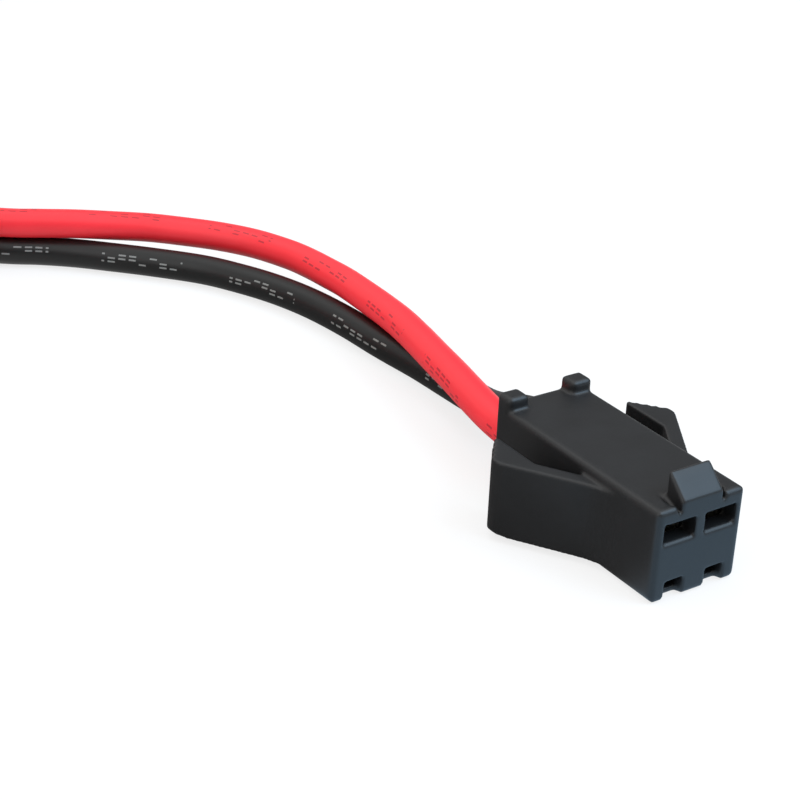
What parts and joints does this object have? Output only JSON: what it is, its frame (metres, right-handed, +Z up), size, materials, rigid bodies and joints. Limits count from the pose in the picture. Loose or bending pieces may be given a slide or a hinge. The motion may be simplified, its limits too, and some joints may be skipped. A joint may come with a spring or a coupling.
{
  "type": "power cable",
  "caption": "Low-voltage power lead: winged locking crimp plug on red and black wires, spare wire coiled and tied, moulded flat power plug on the far end.",
  "frame": {"origin": "middle of the small plug's underside, on the surface that the lead lies on", "axes": "+X is the way the small plug mates, +Z is up, +Y is the black wire's side of the small plug"},
  "size_m": [0.07, 0.0685, 0.0086],
  "materials": {
    "nylon_black": "injection-moulded nylon, dull black",
    "tinned_brass": "stamped brass sheet, tin plated",
    "copper": "bare stranded copper",
    "pvc_red": "extruded red vinyl insulation, soft gloss",
    "pvc_black": "extruded black vinyl insulation, soft gloss",
    "grip_pvc": "black vinyl moulded over the plug, fine matt grain",
    "nickel_plate": "folded steel sheet, nickel plated",
    "white_resin": "moulded white insulating resin",
    "natural_resin": "natural resin, moulded round the soldered tails",
    "gilt": "stamped contacts with a thin gold flash",
    "solder": "dull solder"
  },
  "bodies": {
    "root": {"housing": "nylon_black", "red_terminal": "tinned_brass", "black_terminal": "tinned_brass", "red_strand_end": "copper", "black_strand_end": "copper", "red_wire": "pvc_red", "black_wire": "pvc_black", "wire_coil": "pvc_black", "cable_tie": "nylon_black", "red_tail": "pvc_red", "black_tail": "pvc_black", "plug_shell": "nickel_plate", "plug_insulator": "white_resin", "power_contact": "gilt", "data_minus_contact": "gilt", "data_plus_contact": "gilt", "ground_contact": "gilt", "plug_inner_mould": "natural_resin", "plug_grip": "grip_pvc", "red_plug_strands": "copper", "black_plug_strands": "copper", "power_solder": "solder", "ground_solder": "solder"}
  },
  "joints": []
}
